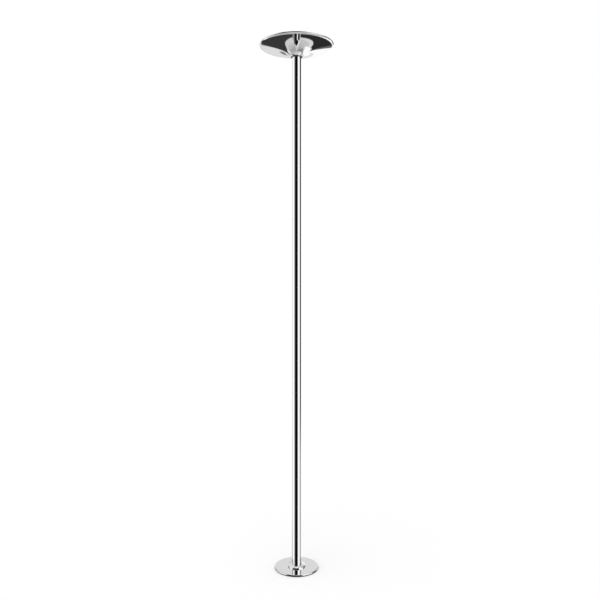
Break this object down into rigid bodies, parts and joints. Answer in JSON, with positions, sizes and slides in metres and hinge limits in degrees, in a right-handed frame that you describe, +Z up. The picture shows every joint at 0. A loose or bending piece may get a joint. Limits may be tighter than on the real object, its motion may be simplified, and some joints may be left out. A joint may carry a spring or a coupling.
{
  "type": "dance pole",
  "caption": "Chromed spinning tension pole for pole fitness: joined tubes on ball bearings between a round floor base and a spun ceiling dome, with a screw-jack foot and a spin lock.",
  "frame": {"origin": "centre of the underside of the floor pad, on the pole's axis", "axes": "+Z up along the pole, -Y towards the front that the picture shows, +Y towards the rear with the key holes"},
  "size_m": [0.368, 0.368, 2.59],
  "materials": {
    "chrome": "mirror polished",
    "turned_steel": "fine turned",
    "bearing_steel": "ground",
    "zinc_steel": "zinc plated",
    "black_steel": "black oxide",
    "brass": "pressed",
    "aluminium": "rolled sheet",
    "black_rubber": "matt moulded",
    "black_nylon": "fine matt"
  },
  "bodies": {
    "base": {"floor_pad": "black_rubber", "base_plate": "chrome", "spindle": "zinc_steel", "spindle_stop_washer": "zinc_steel", "spindle_stop_screw": "black_steel", "base_screw_1": "black_steel", "base_screw_2": "black_steel", "base_screw_3": "black_steel", "base_screw_4": "black_steel"},
    "collar": {"base_collar": "chrome"},
    "adjuster": {"adjuster_hub": "turned_steel", "low_inner_race": "bearing_steel", "high_inner_race": "bearing_steel", "hub_clip": "black_steel"},
    "low_cage": {"low_ball_cage": "brass"},
    "high_cage": {"high_ball_cage": "brass"},
    "pole": {"lower_tube": "chrome", "middle_tube": "chrome", "upper_tube": "chrome", "joiner_1_rear_half": "zinc_steel", "joiner_1_front_half": "zinc_steel", "joiner_1_low_screw": "black_steel", "joiner_1_high_screw": "black_steel", "joiner_2_rear_half": "zinc_steel", "joiner_2_front_half": "zinc_steel", "joiner_2_low_screw": "black_steel", "joiner_2_high_screw": "black_steel", "bearing_housing": "turned_steel", "low_outer_race": "bearing_steel", "high_outer_race": "bearing_steel", "top_housing": "turned_steel", "top_outer_race": "bearing_steel"},
    "lock_1": {"lock_screw_1": "black_steel"},
    "lock_2": {"lock_screw_2": "black_steel"},
    "top_cage": {"top_ball_cage": "brass"},
    "dome": {"dome_shell": "chrome", "ceiling_plate": "aluminium", "ceiling_pad": "black_rubber", "top_spigot": "turned_steel", "top_inner_race": "bearing_steel", "spigot_clip": "black_steel", "throat_bush": "black_nylon", "spigot_screw_1": "black_steel", "spigot_screw_2": "black_steel", "spigot_screw_3": "black_steel", "spigot_screw_4": "black_steel"}
  },
  "joints": [
    {"name": "height_adjust", "type": "slide", "parent": "base", "child": "adjuster", "axis": [0, 0, 1], "range_m": [0, 0.05]},
    {"name": "collar_lift", "type": "slide", "parent": "base", "child": "collar", "axis": [0, 0, 1], "range_m": [0, 0.06]},
    {"name": "pole_spin", "type": "hinge", "parent": "adjuster", "child": "pole", "pos_m": [0, 0, 0.048], "axis": [0, 0, 1], "continuous": true},
    {"name": "low_cage_roll", "type": "hinge", "parent": "adjuster", "child": "low_cage", "pos_m": [0, 0, 0.0225], "axis": [0, 0, 1], "continuous": true},
    {"name": "high_cage_roll", "type": "hinge", "parent": "adjuster", "child": "high_cage", "pos_m": [0, 0, 0.0735], "axis": [0, 0, 1], "continuous": true},
    {"name": "top_cage_roll", "type": "hinge", "parent": "pole", "child": "top_cage", "pos_m": [0, 0, 2.5615], "axis": [0, 0, 1], "continuous": true},
    {"name": "dome_turn", "type": "hinge", "parent": "pole", "child": "dome", "pos_m": [0, 0, 2.5615], "axis": [0, 0, 1], "continuous": true},
    {"name": "lock_screw_1_travel", "type": "slide", "parent": "pole", "child": "lock_1", "axis": [-0.5, -0.866, 0], "range_m": [0, 0.0012]},
    {"name": "lock_screw_2_travel", "type": "slide", "parent": "pole", "child": "lock_2", "axis": [0.5, -0.866, 0], "range_m": [0, 0.0012]}
  ],
  "couplings": [
    {"joint": "low_cage_roll", "follows": "pole_spin", "ratio": 0.55645},
    {"joint": "high_cage_roll", "follows": "pole_spin", "ratio": 0.55645},
    {"joint": "top_cage_roll", "follows": "pole_spin", "ratio": -0.44355},
    {"joint": "dome_turn", "follows": "pole_spin", "ratio": -1}
  ]
}
